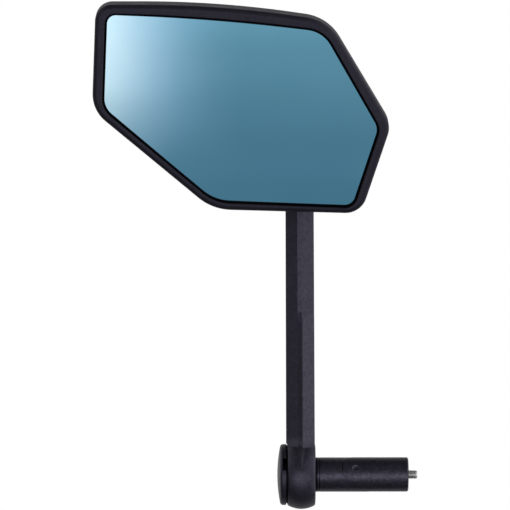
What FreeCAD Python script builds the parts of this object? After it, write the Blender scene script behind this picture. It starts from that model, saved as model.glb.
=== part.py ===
import FreeCAD, Part
import math
import os
from FreeCAD import Vector

# Bar-end bicycle mirror for the left end of a handlebar, in millimetres.
#
# Origin: on the axis of the expanding plug, in the plane where the handlebar's end meets the
# arm. +X runs along the plug into the handlebar, +Z up the arm, and the glass faces -Y, towards
# the rider. From the handlebar outwards the object is: an expanding plug in two halves with its
# nut, a clamp screw, an arm with an eye at its foot, a ball stud, and the mirror head.

# ---------------------------------------------------------------- expanding plug and clamp
PLUG_R = 9.25
WEDGE_R = 9.25
PLUG_END_X = 50.0
PLUG_CHAMFER = 0.6
COLLAR_END_X = 1.9            # a fine groove sets off a collar at the root of the plug
COLLAR_GROOVE = 0.15
SPLIT_X = 24.2                # where the oblique split crosses the plug's axis
SPLIT_ANGLE = 47.0            # between the split and a plane square to the axis
SPLIT_TURN = 26.0             # the wedge climbs to the front, this far above the horizontal
SPLIT_GAP = 0.06
WEDGE_OFFSET = 0.17           # how far the wedge has climbed off the axis, as stored
WEDGE_CLIMB = 2.3             # how far it can climb from the axis when tightened
TIP_BLUNT = 0.35              # flat left on the thin tip of each half
DIMPLE_X = 21.6
DIMPLE_Z = 4.1
DIMPLE_BALL_R = 2.8
DIMPLE_DEPTH = 0.55
DIMPLE_STRETCH = 0.6
SPIGOT_R = 7.5                # the arm turns on this part of the plug
SPIGOT_END_X = -6.6

SCREW_R = 2.45                # M5 x 65
SCREW_PITCH = 0.8
SCREW_THREAD_DEPTH = 0.42
SCREW_SEAT_X = -10.1
SCREW_TIP_X = 54.9
SCREW_THREAD_X = 38.0
SCREW_HEAD_R = 4.25
SCREW_HEAD_LENGTH = 5.0
HEX_KEY = 4.0
HEX_DEPTH = 2.6
SCREW_HOLE_R = 2.8
NUT_SIDE = 8.0
NUT_THICK = 4.0
NUT_POCKET_FLOOR_X = 45.2
NUT_PLAY = 0.08

# ---------------------------------------------------------------- eye of the arm, and its cap
EYE_R = 18.5
EYE_LEFT_X = -15.2
EYE_MID_X = (EYE_LEFT_X + 0.0) / 2
EYE_CROWN_R = 14.5
EYE_EDGE_R = 1.7
RECESS_R = 10.2
WEB_LEFT_X = -6.8
INSERT_R = 9.0
INSERT_BORE_R = 7.56
FRICTION_RING_T = 0.8
MOUTH_R = 9.2                 # mouth of the eye's bore, clear of the plug's collar
MOUTH_CHAMFER = 0.4
CLAMP_WASHER_T = 2.0
SPRING_WASHER_T = 1.3
CREASE_HALF_WIDTH = 4.5       # soft ridge that carries the arm's ridge on over the eye
CREASE_SLOPE = 16.0
CREASE_HEIGHT = 0.1
CREASE_SHIFT_Y = 0.12
CREASE_SHIFT_Z = 0.6

CAP_R = 16.4
CAP_BACK_X = -15.75
CAP_RIM_X = -18.75
CAP_DOME_X = -20.5
CAP_RIM_FILLET = 1.7
CAP_CLIP_R = 10.12
CAP_CLIP_END_X = -11.3
CAP_SHELL = 1.9
CAP_HOLLOW_X = -17.7
CAP_LIP_R = 16.0              # thin lip behind the cap, which all but meets the eye
CAP_LIP_X = -15.28
CAP_LIP_FOOT_Z = -15.2        # the lip stops short at the bottom, where a blade can lift the cap
CAP_NOTCH_Z = 6.5
CAP_NOTCH_WIDTH = 7.0
CAP_NOTCH_LENGTH = 2.0
CAP_NOTCH_DEPTH = 3.0

# ---------------------------------------------------------------- arm
ARM_FOOT_X = -7.98            # the arm leans a little outwards on its way up
ARM_TOP_X = -8.65
ARM_HALF_WIDTH_FOOT = 7.7
ARM_HALF_WIDTH_TOP = 7.55
RIDGE_Y = -8.0                # front ridge
SHOULDER_Y = -4.2             # front corners of the sides
ARM_BACK_Y_FOOT = 8.0
ARM_BACK_Y_TOP = 6.6
PAD_Y = -10.0                 # the lower right face stands proud of the upper one
PAD_SIDE_Y = -5.9
RIDGE_X = -1.3                # ridge and bevel, measured from the arm's middle
BEVEL_X = 0.6
PAD_X = 1.15
PAD_TOP_Z = 82.3
RAMP_TOP_Z = 87.7
ARM_EDGE_R = 0.55
BACK_BEVEL = 3.6
EYE_BLEND_R = 10.0            # hollow curve between the arm's front and the eye
ARM_FOOT_Z = 9.0              # the arm's faces end inside the eye
CHANNEL_WIDTH = 4.2           # core-out in the back of the arm
CHANNEL_DEPTH = 3.0
CHANNEL_Z = (30.0, 160.0)
CHANNEL_RIBS = 5
CHANNEL_RIB_T = 1.4

# ---------------------------------------------------------------- ball joint
BALL_CENTRE = Vector(-8.6, -24.0, 185.0)
BALL_R = 9.0
NECK_R = 3.5
BOSS_R = 9.2
BOSS_FRONT_Y = -8.0
BOSS_BACK_Y = 10.0
STUD_R = 3.0
STUD_SEAT_Y = 1.5
STUD_WASHER_T = 1.2
STUD_NUT_AF = 10.0
STUD_NUT_T = 5.0
STUD_RECESS_R = 6.6
STUD_CAP_T = 1.6
COLLAR_AF = 10.0
COLLAR_T = 2.4
LINER_IN_R = 9.05
LINER_OUT_R = 10.45
LINER_MOUTH = 45.0            # half angle of the liner's opening for the neck
LINER_SLOTS = 6
LINER_SLOT = 0.9
SEAT_R = 10.5
SEAT_OUT_R = 13.0
SEAT_MOUTH = 49.0             # half angle of the housing's mouth
CLAMP_FLANGE_R = 22.5
CLAMP_FLANGE_Y = (-4.4, -2.4)
CLAMP_WALL = 2.1
CLAMP_SCREW_CIRCLE = 18.6
CLAMP_SCREW_ANGLES = (90.0, 210.0, 330.0)
CLAMP_SCREW_R = 1.45
CLAMP_SCREW_HEAD_R = 2.8
SPRING_WIRE_R = 0.5
SPRING_MID_R = 2.2
SPRING_HEIGHT = 3.8
SPRING_TURNS = 2

# ---------------------------------------------------------------- mirror head, in its own frame
# The head's frame has its origin at the ball's centre, its glass towards -Y and its housing
# towards +Y. Corners go clockwise from the outer top one, as (x, z, corner radius).
HEAD_TILT = 13.0              # the stored head looks this far down
RIM_OUTLINE = [
    (-107.4, 70.8, 8.8),
    (-42.4, 70.9, 560.0),
    (14.6, 62.4, 25.0),
    (47.9, 6.5, 12.5),
    (32.3, -41.1, 11.5),
    (-46.5, -38.9, 28.0),
    (-109.8, 14.6, 18.5),
]
GLASS_OUTLINE = [
    (-101.3, 65.2, 4.6),
    (-47.4, 63.5, 900.0),
    (11.6, 56.5, 16.0),
    (41.0, 4.9, 8.0),
    (27.6, -36.7, 5.6),
    (-45.3, -33.6, 23.0),
    (-103.4, 16.0, 10.5),
]
GLASS_CENTRE = (-31.0, 15.0)  # centre of the glass's convex curve, x and z
GLASS_CURVE_R = 1400.0
GLASS_FRONT_Y = -22.0
GLASS_T = 2.2
GLASS_OVERLAP = 1.9           # glass hidden under the bezel's lip
PAD_T = 0.8
CARRIER_T = 1.6
BEZEL_FRONT_Y = -22.6
BEZEL_BACK_Y = -15.2
BEZEL_OUTER_R = 2.7
BEZEL_LIP_FLARE = 0.4
SEAL_WIDTH = 1.15             # black seal seen between the bezel's lip and the glass
SEAL_T = 0.35
TAB_INSET = 2.4               # snap tabs and tongue stand just inside the housing's wall
TAB_T = 1.1
TAB_WIDTH = 9.0
TAB_END_Y = -11.4
TONGUE_T = 0.9
TONGUE_REACH = 1.3            # how far the tongue bridges the seam into the housing
BEZEL_TABS = [(0, 0.2), (0, 0.45), (1, 0.68), (2, 0.3), (2, 0.7), (3, 0.4), (5, 0.3), (5, 0.7), (6, 0.5)]
SEAM = 0.3                    # shadow gap between bezel and housing
HOUSING_FRONT_Y = -15.2 + SEAM
HOUSING_WALL = 2.3
HOUSING_BACK_Y = 8.0
HOUSING_SCALE_CENTRE = (-15.0, 12.0)
HOUSING_SIDE_Y = -9.6         # end of the straight side
HOUSING_FLAT_SCALE = 0.3      # size of the flat in the middle of the back
HOUSING_STEPS = 6


# ================================================================ general helpers
def cylinder_x(radius, x0, x1):
    return Part.makeCylinder(radius, x1 - x0, Vector(x0, 0, 0), Vector(1, 0, 0))


def cylinder_y(radius, y0, y1, x=0.0, z=0.0):
    return Part.makeCylinder(radius, y1 - y0, Vector(x, y0, z), Vector(0, 1, 0))


def box(x0, x1, y0, y1, z0, z1):
    return Part.makeBox(x1 - x0, y1 - y0, z1 - z0, Vector(x0, y0, z0))


def turned(profile, axis):
    """Solid of revolution about X or Y from (distance along the axis, radius) points."""
    if axis == "x":
        points = [Vector(a, 0, r) for a, r in profile]
        direction = Vector(1, 0, 0)
    else:
        points = [Vector(r, a, 0) for a, r in profile]
        direction = Vector(0, 1, 0)
    face = Part.Face(Part.makePolygon(points + points[:1]))
    solid = face.revolve(Vector(0, 0, 0), direction, 360)
    return solid if solid.Volume > 0 else solid.reversed()


def hex_prism_x(across_flats, x0, x1):
    corners = [polar(across_flats / math.sqrt(3), 60 * i + 30) for i in range(7)]
    face = Part.Face(Part.makePolygon([Vector(x0, u, v) for u, v in corners]))
    return face.extrude(Vector(x1 - x0, 0, 0))


def hex_prism_y(across_flats, y0, y1):
    corners = [polar(across_flats / math.sqrt(3), 60 * i) for i in range(7)]
    face = Part.Face(Part.makePolygon([Vector(u, y0, v) for u, v in corners]))
    return face.extrude(Vector(0, y1 - y0, 0))


def polar(radius, degrees):
    turn = math.radians(degrees)
    return radius * math.cos(turn), radius * math.sin(turn)


def fused(shapes):
    """One solid from overlapping shapes."""
    whole = shapes[0].fuse(shapes[1:]) if len(shapes) > 1 else shapes[0]
    whole = whole.removeSplitter()
    return whole.Solids[0] if len(whole.Solids) == 1 else whole


def round_edges(shape, radius, wanted):
    """Fillets the edges that wanted(edge) picks, and keeps the plain shape if that can't be built."""
    edges = [e for e in shape.Edges if wanted(e)]
    try:
        rounded = shape.makeFillet(radius, edges)
        if rounded.isValid() and len(rounded.Solids) == 1:
            return rounded.Solids[0]
        print("fillet not valid, left sharp:", radius, len(edges))
    except Exception as problem:
        print("fillet left out:", radius, len(edges), problem)
    return shape


def inset_corners(corners, inset):
    """The corners of a convex outline moved inwards by inset, with their radii to suit."""
    count = len(corners)
    centre_u = sum(c[0] for c in corners) / count
    centre_v = sum(c[1] for c in corners) / count
    lines = []
    for i in range(count):
        u0, v0, _ = corners[i]
        u1, v1, _ = corners[(i + 1) % count]
        length = math.hypot(u1 - u0, v1 - v0)
        nu, nv = -(v1 - v0) / length, (u1 - u0) / length
        if nu * (centre_u - u0) + nv * (centre_v - v0) < 0:
            nu, nv = -nu, -nv
        lines.append((nu, nv, nu * u0 + nv * v0 + inset))
    moved = []
    for i in range(count):
        a, b, c = lines[i - 1]
        d, e, f = lines[i]
        det = a * e - b * d
        radius = max(corners[i][2] - inset, 0.4)
        moved.append(((c * e - b * f) / det, (a * f - c * d) / det, radius))
    return moved


def scaled_corners(corners, factor, centre):
    cu, cv = centre
    return [(cu + (u - cu) * factor, cv + (v - cv) * factor, r * factor) for u, v, r in corners]


def rounded_wire(corners, to_point):
    """Closed wire through rounded corners (u, v, radius), each point placed by to_point(u, v)."""
    count = len(corners)
    rounded = []
    for i in range(count):
        u, v, radius = corners[i]
        arms = []
        for j in (i - 1, (i + 1) % count):
            du, dv = corners[j][0] - u, corners[j][1] - v
            length = math.hypot(du, dv)
            arms.append((du / length, dv / length))
        half = math.acos(max(-1.0, min(1.0, arms[0][0] * arms[1][0] + arms[0][1] * arms[1][1]))) / 2
        reach = radius / math.tan(half)
        mu, mv = arms[0][0] + arms[1][0], arms[0][1] + arms[1][1]
        middle = math.hypot(mu, mv)
        dip = radius / math.sin(half) - radius
        rounded.append([
            (u + arms[0][0] * reach, v + arms[0][1] * reach),
            (u + mu / middle * dip, v + mv / middle * dip),
            (u + arms[1][0] * reach, v + arms[1][1] * reach),
        ])
    edges = []
    for i in range(count):
        start, middle, end = (to_point(*p) for p in rounded[i])
        edges.append(Part.Arc(start, middle, end).toShape())
        following = to_point(*rounded[(i + 1) % count][0])
        edges.append(Part.LineSegment(end, following).toShape())
    return Part.Wire(edges)


def wire_across_y(corners, y):
    return rounded_wire(corners, lambda u, v: Vector(u, y, v))


def outline_prism(corners, y0, y1):
    return Part.Face(wire_across_y(corners, y0)).extrude(Vector(0, y1 - y0, 0))


# ================================================================ expanding plug
def split_direction():
    """Unit vector square to the axis that points to where the fixed half is longest."""
    turn = math.radians(SPLIT_TURN)
    return Vector(0, math.cos(turn), -math.sin(turn))


def beyond_split(shift):
    """Large solid beyond the oblique split, moved along the axis by shift."""
    size = 80.0
    slab = Part.makeBox(size, size, size, Vector(0, -size / 2, -size / 2))
    long_side = split_direction()
    across = Vector(1, 0, 0).cross(long_side)
    lean = math.radians(SPLIT_ANGLE)
    normal = Vector(math.cos(lean), 0, 0) - long_side * math.sin(lean)
    along = normal.cross(across)
    place = FreeCAD.Matrix(
        normal.x, across.x, along.x, SPLIT_X + shift,
        normal.y, across.y, along.y, 0,
        normal.z, across.z, along.z, 0,
        0, 0, 0, 1,
    )
    slab.Placement = FreeCAD.Placement(place)
    return slab


def aligned_with_split(shape):
    """Turns a shape whose +Z is radial so that its +Z points along split_direction."""
    turned_shape = shape.copy()
    turned_shape.rotate(Vector(0, 0, 0), Vector(1, 0, 0), -90 - SPLIT_TURN)
    return turned_shape


def tip_block(side):
    """Block that blunts the thin tip of the fixed half (side 1) or of the wedge (side -1)."""
    reach = PLUG_R * math.tan(math.radians(SPLIT_ANGLE)) - TIP_BLUNT
    length, width = 6.0, 9.0
    height = PLUG_R - 5.5
    block = Part.makeBox(length, width, height + 2, Vector(0, -width / 2, PLUG_R - height))
    if side < 0:
        block.rotate(Vector(0, 0, 0), Vector(0, 1, 0), 180)
    return aligned_with_split(block).translated(Vector(SPLIT_X + side * reach, 0, 0))


def plug_body():
    collar = turned([
        (0, 0), (0, PLUG_R - 0.3), (0.3, PLUG_R), (COLLAR_END_X, PLUG_R),
        (COLLAR_END_X + 0.15, PLUG_R - COLLAR_GROOVE), (COLLAR_END_X + 0.35, PLUG_R - COLLAR_GROOVE),
        (COLLAR_END_X + 0.5, PLUG_R), (PLUG_END_X, PLUG_R), (PLUG_END_X, 0),
    ], "x")
    body = collar.cut(beyond_split(-SPLIT_GAP)).cut(tip_block(1))
    spigot = turned([
        (SPIGOT_END_X, 0), (SPIGOT_END_X, SPIGOT_R - 0.4), (SPIGOT_END_X + 0.4, SPIGOT_R),
        (1, SPIGOT_R), (1, 0),
    ], "x")
    body = fused([body, spigot])
    return body.cut(cylinder_x(SCREW_HOLE_R, SPIGOT_END_X - 1, PLUG_END_X)).Solids[0]


def slot_along_split(half_width, x0, x1):
    """Slot through the wedge that lets the screw stay put while the wedge climbs."""
    slot = fused([
        cylinder_x(half_width, x0, x1),
        cylinder_x(half_width, x0, x1).translated(Vector(0, 0, WEDGE_CLIMB)),
        box(x0, x1, -half_width, half_width, 0, WEDGE_CLIMB),
    ])
    return aligned_with_split(slot)


def plug_wedge():
    body = turned([
        (0, 0), (0, WEDGE_R), (PLUG_END_X - PLUG_CHAMFER, WEDGE_R),
        (PLUG_END_X, WEDGE_R - PLUG_CHAMFER), (PLUG_END_X, 0),
    ], "x")
    body = body.common(beyond_split(0)).cut(tip_block(-1))
    body = body.cut(slot_along_split(SCREW_HOLE_R, 0, PLUG_END_X + 1))
    half = NUT_SIDE / 2 + NUT_PLAY
    pocket = box(NUT_POCKET_FLOOR_X, PLUG_END_X + 1, -half, half, -half, half + WEDGE_CLIMB)
    body = body.cut(aligned_with_split(pocket))
    return body.cut(core_pin_dimple()).translated(split_direction() * -WEDGE_OFFSET).Solids[0]


def core_pin_dimple():
    """Cutter for the shallow oval dimple that a core pin left in the front of the wedge."""
    outward = Vector(0, -math.sqrt(WEDGE_R ** 2 - DIMPLE_Z ** 2), DIMPLE_Z).normalize()
    centre = Vector(DIMPLE_X, 0, 0) + outward * (WEDGE_R + DIMPLE_BALL_R - DIMPLE_DEPTH)
    ends = [centre + Vector(s * DIMPLE_STRETCH / 2, 0, 0) for s in (-1, 1)]
    middle = Part.makeCylinder(DIMPLE_BALL_R, DIMPLE_STRETCH, ends[0], Vector(1, 0, 0))
    return fused([middle] + [Part.makeSphere(DIMPLE_BALL_R, end) for end in ends])


def wedge_nut():
    half = NUT_SIDE / 2
    nut = box(NUT_POCKET_FLOOR_X, NUT_POCKET_FLOOR_X + NUT_THICK, -half, half, -half, half)
    nut = nut.cut(cylinder_x(SCREW_R + 0.06, NUT_POCKET_FLOOR_X - 1, PLUG_END_X + 1))
    return aligned_with_split(nut)


def clamp_screw():
    head_x = SCREW_SEAT_X - SCREW_HEAD_LENGTH
    profile = [(head_x, 0), (head_x, SCREW_HEAD_R - 0.4), (head_x + 0.4, SCREW_HEAD_R),
               (SCREW_SEAT_X, SCREW_HEAD_R), (SCREW_SEAT_X, SCREW_R), (SCREW_THREAD_X, SCREW_R)]
    x = SCREW_THREAD_X
    core = SCREW_R - SCREW_THREAD_DEPTH
    while x + SCREW_PITCH < SCREW_TIP_X:
        profile += [(x + 0.35 * SCREW_PITCH, core), (x + 0.5 * SCREW_PITCH, core),
                    (x + 0.85 * SCREW_PITCH, SCREW_R), (x + SCREW_PITCH, SCREW_R)]
        x += SCREW_PITCH
    profile += [(SCREW_TIP_X, core), (SCREW_TIP_X, 0)]
    screw = turned(profile, "x")
    return screw.cut(hex_prism_x(HEX_KEY, head_x - 1, head_x + HEX_DEPTH)).Solids[0]


def clamp_washer():
    x0 = WEB_LEFT_X - CLAMP_WASHER_T
    radius = RECESS_R - 0.35
    return turned([
        (x0, SCREW_HOLE_R), (x0, radius - 0.4), (x0 + 0.4, radius),
        (WEB_LEFT_X, radius), (WEB_LEFT_X, SCREW_HOLE_R),
    ], "x")


def spring_washer():
    """Split lock washer under the screw's head."""
    ring = cylinder_x(4.6, SCREW_SEAT_X, SCREW_SEAT_X + SPRING_WASHER_T)
    ring = ring.cut(cylinder_x(SCREW_HOLE_R, SCREW_SEAT_X - 1, SCREW_SEAT_X + 3))
    slit = box(SCREW_SEAT_X - 1, SCREW_SEAT_X + 3, -0.4, 0.4, 0, 6)
    slit.rotate(Vector(SCREW_SEAT_X, 0, 0), Vector(0, 0, 1), 12)
    return ring.cut(slit).Solids[0]


# ================================================================ arm
def eye_blend():
    """Hollow curve between the arm's front faces and the crown of the eye."""
    centre = arm_middle(EYE_R)
    half = arm_half_width(EYE_R)
    lines = [(-half, SHOULDER_Y), (RIDGE_X, RIDGE_Y), (PAD_X, PAD_Y), (half, PAD_SIDE_Y)]
    profiles = []
    for u, y in lines:
        x = centre + u
        crown_r = EYE_R - EYE_CROWN_R + math.sqrt(EYE_CROWN_R ** 2 - (x - EYE_MID_X) ** 2)
        centre_y = y - EYE_BLEND_R
        centre_z = math.sqrt((crown_r + EYE_BLEND_R) ** 2 - centre_y ** 2)
        share = crown_r / (crown_r + EYE_BLEND_R)
        top = Vector(x, y, centre_z)
        foot = Vector(x, centre_y * share, centre_z * share)
        turn = math.atan2(centre_z * (1 - share), -centre_y * (1 - share)) / 2
        bend = Vector(x, centre_y + EYE_BLEND_R * math.cos(turn), centre_z - EYE_BLEND_R * math.sin(turn))
        arc = Part.Arc(top, bend, foot).toShape()
        back = Part.makePolygon([foot, Vector(x, 0, foot.z), Vector(x, 0, centre_z), top])
        profiles.append(Part.Wire([arc] + back.Edges))
    return [Part.makeLoft(list(pair), True, True) for pair in zip(profiles, profiles[1:])]


def arm_middle(z):
    return ARM_FOOT_X + (ARM_TOP_X - ARM_FOOT_X) * z / BALL_CENTRE.z


def arm_half_width(z):
    return ARM_HALF_WIDTH_FOOT + (ARM_HALF_WIDTH_TOP - ARM_HALF_WIDTH_FOOT) * z / BALL_CENTRE.z


def arm_section(z, raised):
    """Rounded wire of the arm at height z, with or without the raised lower face."""
    centre = arm_middle(z)
    half = arm_half_width(z)
    back = ARM_BACK_Y_FOOT + (ARM_BACK_Y_TOP - ARM_BACK_Y_FOOT) * z / BALL_CENTRE.z
    loop = [(-half, SHOULDER_Y), (RIDGE_X, RIDGE_Y)]
    loop += [(PAD_X, PAD_Y), (half, PAD_SIDE_Y)] if raised else [(BEVEL_X, RIDGE_Y), (half, SHOULDER_Y)]
    loop += [(half, back - BACK_BEVEL), (half - BACK_BEVEL, back)]
    loop += [(BACK_BEVEL - half, back), (-half, back - BACK_BEVEL)]
    corners = [(centre + u, v, ARM_EDGE_R) for u, v in loop]
    return rounded_wire(corners, lambda u, v: Vector(u, v, z))


def arm_beam():
    top_z = BALL_CENTRE.z + BOSS_R
    levels = [(ARM_FOOT_Z, True), (PAD_TOP_Z, True), (RAMP_TOP_Z, False), (top_z, False)]
    pieces = eye_blend()
    for low, high in zip(levels, levels[1:]):
        pieces.append(Part.makeLoft([arm_section(*low), arm_section(*high)], True, True))
    beam = fused(pieces)
    # The top is rounded about the ball stud's hole.
    square = box(-30, 15, -20, 20, BALL_CENTRE.z, top_z + 5)
    dome = cylinder_y(ARM_HALF_WIDTH_TOP, -20, 20, BALL_CENTRE.x, BALL_CENTRE.z)
    beam = beam.cut(square.cut(dome))
    # Beside the cap the beam keeps to the eye's own width.
    return beam.cut(box(-30, EYE_LEFT_X, -20, 20, 0, CAP_R + 0.4))


def eye_solid():
    sag_end = EYE_CROWN_R - math.sqrt(EYE_CROWN_R ** 2 - EYE_MID_X ** 2)
    edge_r = EYE_R - sag_end
    left = Vector(EYE_LEFT_X, 0, edge_r)
    right = Vector(0, 0, edge_r)
    crown = Part.Arc(left, Vector(EYE_MID_X, 0, EYE_R), right).toShape()
    base = Part.makePolygon([right, Vector(0, 0, 0), Vector(EYE_LEFT_X, 0, 0), left])
    face = Part.Face(Part.Wire([crown] + base.Edges))
    eye = face.revolve(Vector(0, 0, 0), Vector(1, 0, 0), 360)
    eye = eye if eye.Volume > 0 else eye.reversed()
    return round_edges(eye, EYE_EDGE_R, lambda e: e.Length > 2 * math.pi * (edge_r - 1))


def eye_crease():
    """Soft ridge over the upper front of the eye; it sinks into the eye near the mid height."""
    x = ARM_FOOT_X + 0.35
    peak = EYE_R + CREASE_HEIGHT
    side = peak - CREASE_HALF_WIDTH * math.tan(math.radians(CREASE_SLOPE))
    profile = [
        Vector(x - CREASE_HALF_WIDTH, 0, EYE_R - 4), Vector(x - CREASE_HALF_WIDTH, 0, side),
        Vector(x, 0, peak), Vector(x + CREASE_HALF_WIDTH, 0, side),
        Vector(x + CREASE_HALF_WIDTH, 0, EYE_R - 4),
    ]
    face = Part.Face(Part.makePolygon(profile + profile[:1]))
    ring = face.revolve(Vector(0, 0, 0), Vector(1, 0, 0), 90)
    return ring.translated(Vector(0, CREASE_SHIFT_Y, CREASE_SHIFT_Z))


def back_channel():
    """Core-out in the back of the arm, crossed by thin ribs."""
    z0, z1 = CHANNEL_Z
    back = ARM_BACK_Y_FOOT + 2
    centre = (ARM_FOOT_X + ARM_TOP_X) / 2
    half = CHANNEL_WIDTH / 2
    trough = fused([
        box(centre - half, centre + half, ARM_BACK_Y_TOP - CHANNEL_DEPTH, back, z0, z1),
        cylinder_y(half, ARM_BACK_Y_TOP - CHANNEL_DEPTH, back, centre, z0),
        cylinder_y(half, ARM_BACK_Y_TOP - CHANNEL_DEPTH, back, centre, z1),
    ])
    step = (z1 - z0) / (CHANNEL_RIBS + 1)
    for i in range(1, CHANNEL_RIBS + 1):
        z = z0 + i * step
        rib_top = ARM_BACK_Y_TOP - 0.6
        trough = trough.cut(box(centre - 3, centre + 3, 0, rib_top, z - CHANNEL_RIB_T / 2,
                                z + CHANNEL_RIB_T / 2))
    return trough


def arm():
    x, z = BALL_CENTRE.x, BALL_CENTRE.z
    boss = turned([
        (BOSS_FRONT_Y, 0), (BOSS_FRONT_Y, BOSS_R - 0.8), (BOSS_FRONT_Y + 0.8, BOSS_R),
        (BOSS_BACK_Y - 0.8, BOSS_R), (BOSS_BACK_Y, BOSS_R - 0.8), (BOSS_BACK_Y, 0),
    ], "y").translated(Vector(x, 0, z))
    whole = fused([arm_beam(), eye_solid(), eye_crease(), boss])
    cuts = [
        cylinder_x(RECESS_R, EYE_LEFT_X - 3, WEB_LEFT_X),
        cylinder_x(INSERT_R, WEB_LEFT_X - 1, 1),
        cylinder_x(MOUTH_R, -FRICTION_RING_T, 1),
        Part.makeCone(MOUTH_R, MOUTH_R + 0.5, 0.5, Vector(-MOUTH_CHAMFER, 0, 0), Vector(1, 0, 0)),
        cylinder_y(STUD_R + 0.05, BOSS_FRONT_Y - 4, BOSS_BACK_Y, x, z),
        cylinder_y(STUD_RECESS_R, STUD_SEAT_Y, BOSS_BACK_Y + 5, x, z),
        back_channel(),
    ]
    return whole.cut(cuts).Solids[0]


def eye_insert():
    """Metal bush pressed into the web of the eye; it turns on the plug's spigot."""
    return turned([
        (WEB_LEFT_X, INSERT_BORE_R), (WEB_LEFT_X, INSERT_R), (-FRICTION_RING_T, INSERT_R),
        (-FRICTION_RING_T, INSERT_BORE_R),
    ], "x")


def friction_ring():
    return turned([
        (-FRICTION_RING_T, INSERT_BORE_R), (-FRICTION_RING_T, INSERT_R + 0.05),
        (0, INSERT_R + 0.05), (0, INSERT_BORE_R),
    ], "x")


def eye_cap():
    """Domed cap over the clamp screw, with a clip ring of four legs and a notch to prise it off."""
    rim_x, apex_x = CAP_RIM_X, CAP_DOME_X
    dome = Part.Arc(Vector(rim_x, 0, CAP_R), Vector(rim_x + (apex_x - rim_x) * 0.75, 0, CAP_R / 2),
                    Vector(apex_x, 0, 0)).toShape()
    rest = Part.makePolygon([Vector(apex_x, 0, 0), Vector(CAP_BACK_X, 0, 0),
                             Vector(CAP_BACK_X, 0, CAP_R), Vector(rim_x, 0, CAP_R)])
    disc = Part.Face(Part.Wire([dome] + rest.Edges)).revolve(Vector(0, 0, 0), Vector(1, 0, 0), 360)
    disc = disc if disc.Volume > 0 else disc.reversed()
    outer_edge = 2 * math.pi * (CAP_R - 0.1)
    disc = round_edges(disc, CAP_RIM_FILLET,
                       lambda e: e.Length > outer_edge and e.CenterOfMass.x < CAP_BACK_X - 1)
    disc = round_edges(disc, 0.4,
                       lambda e: e.Length > outer_edge and e.CenterOfMass.x > CAP_BACK_X - 0.1)
    clip = cylinder_x(CAP_CLIP_R, CAP_BACK_X - 0.5, CAP_CLIP_END_X)
    lip = cylinder_x(CAP_LIP_R, CAP_BACK_X - 0.5, CAP_LIP_X)
    lip = lip.cut(box(CAP_BACK_X - 1, 0, -20, 20, -20, CAP_LIP_FOOT_Z))
    cap = fused([disc, lip, clip])
    cap = cap.cut(cylinder_x(CAP_CLIP_R - CAP_SHELL, CAP_HOLLOW_X, 0))
    ring = cylinder_x(CAP_R - CAP_SHELL, CAP_HOLLOW_X, CAP_LIP_X + 0.01)
    cap = cap.cut(ring.cut(cylinder_x(CAP_CLIP_R + 1.2, CAP_HOLLOW_X - 1, 0)))
    for turn in (0, 45, 90, 135):
        slit = box(CAP_BACK_X + 0.8, 0, -30, 30, -0.9, 0.9)
        slit.rotate(Vector(0, 0, 0), Vector(1, 0, 0), turn + 22.5)
        cap = cap.cut(slit)
    notch_turn = math.degrees(math.asin(CAP_NOTCH_Z / CAP_R))
    half = CAP_NOTCH_WIDTH / 2
    notch = box(CAP_BACK_X - CAP_NOTCH_LENGTH, CAP_BACK_X + 1, -CAP_R - 2,
                -CAP_R + CAP_NOTCH_DEPTH, -half, half)
    notch = round_edges(notch, 0.9, lambda e: abs(e.CenterOfMass.y + CAP_R - CAP_NOTCH_DEPTH) < 0.01
                        and abs(e.Length - CAP_NOTCH_LENGTH - 1) < 0.01)
    notch.rotate(Vector(0, 0, 0), Vector(1, 0, 0), -notch_turn)
    return cap.cut(notch).Solids[0]


# ================================================================ ball joint
def at_ball(shape):
    return shape.translated(BALL_CENTRE)


def stud_cap():
    """Cap over the nut, flush with the back of the arm's top boss."""
    y1 = BOSS_BACK_Y + 0.5
    y0 = BOSS_BACK_Y - STUD_CAP_T
    cap = turned([
        (y0, 0), (y0, STUD_RECESS_R - 0.08), (BOSS_BACK_Y, STUD_RECESS_R - 0.08),
        (y1, STUD_RECESS_R - 1.6), (y1, 0),
    ], "y")
    return cap.translated(Vector(BALL_CENTRE.x, 0, BALL_CENTRE.z))


def ball_stud():
    """Steel ball, neck, hexagon collar and threaded shank in one piece."""
    neck_y = BOSS_FRONT_Y - BALL_CENTRE.y
    ball = Part.makeSphere(BALL_R)
    neck = cylinder_y(NECK_R, 6, neck_y - 1)
    collar = hex_prism_y(COLLAR_AF, neck_y - COLLAR_T - 0.1, neck_y - 0.1)
    collar = collar.common(cylinder_y(COLLAR_AF * 0.55, 0, neck_y + 5))
    shank_end = STUD_SEAT_Y + STUD_WASHER_T + STUD_NUT_T + 0.4 - BALL_CENTRE.y
    shank = cylinder_y(STUD_R, neck_y - 2, shank_end)
    stud = fused([ball, neck, collar, shank])
    stud = stud.cut(hex_prism_y(3.0, -BALL_R - 1, -BALL_R + 3.2))
    return at_ball(stud)


def stud_washer():
    y0 = STUD_SEAT_Y
    ring = cylinder_y(6.2, y0, y0 + STUD_WASHER_T).cut(cylinder_y(STUD_R + 0.2, y0 - 1, y0 + 3))
    return ring.translated(Vector(BALL_CENTRE.x, 0, BALL_CENTRE.z))


def stud_nut():
    y0 = STUD_SEAT_Y + STUD_WASHER_T
    nut = hex_prism_y(STUD_NUT_AF, y0, y0 + STUD_NUT_T)
    chamfer = turned([
        (y0, 0), (y0, 5.2), (y0 + 0.5, 5.9), (y0 + STUD_NUT_T - 0.5, 5.9),
        (y0 + STUD_NUT_T, 5.2), (y0 + STUD_NUT_T, 0),
    ], "y")
    nut = nut.common(chamfer).cut(cylinder_y(STUD_R, y0 - 1, y0 + STUD_NUT_T + 1))
    return nut.translated(Vector(BALL_CENTRE.x, 0, BALL_CENTRE.z)).Solids[0]


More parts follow.
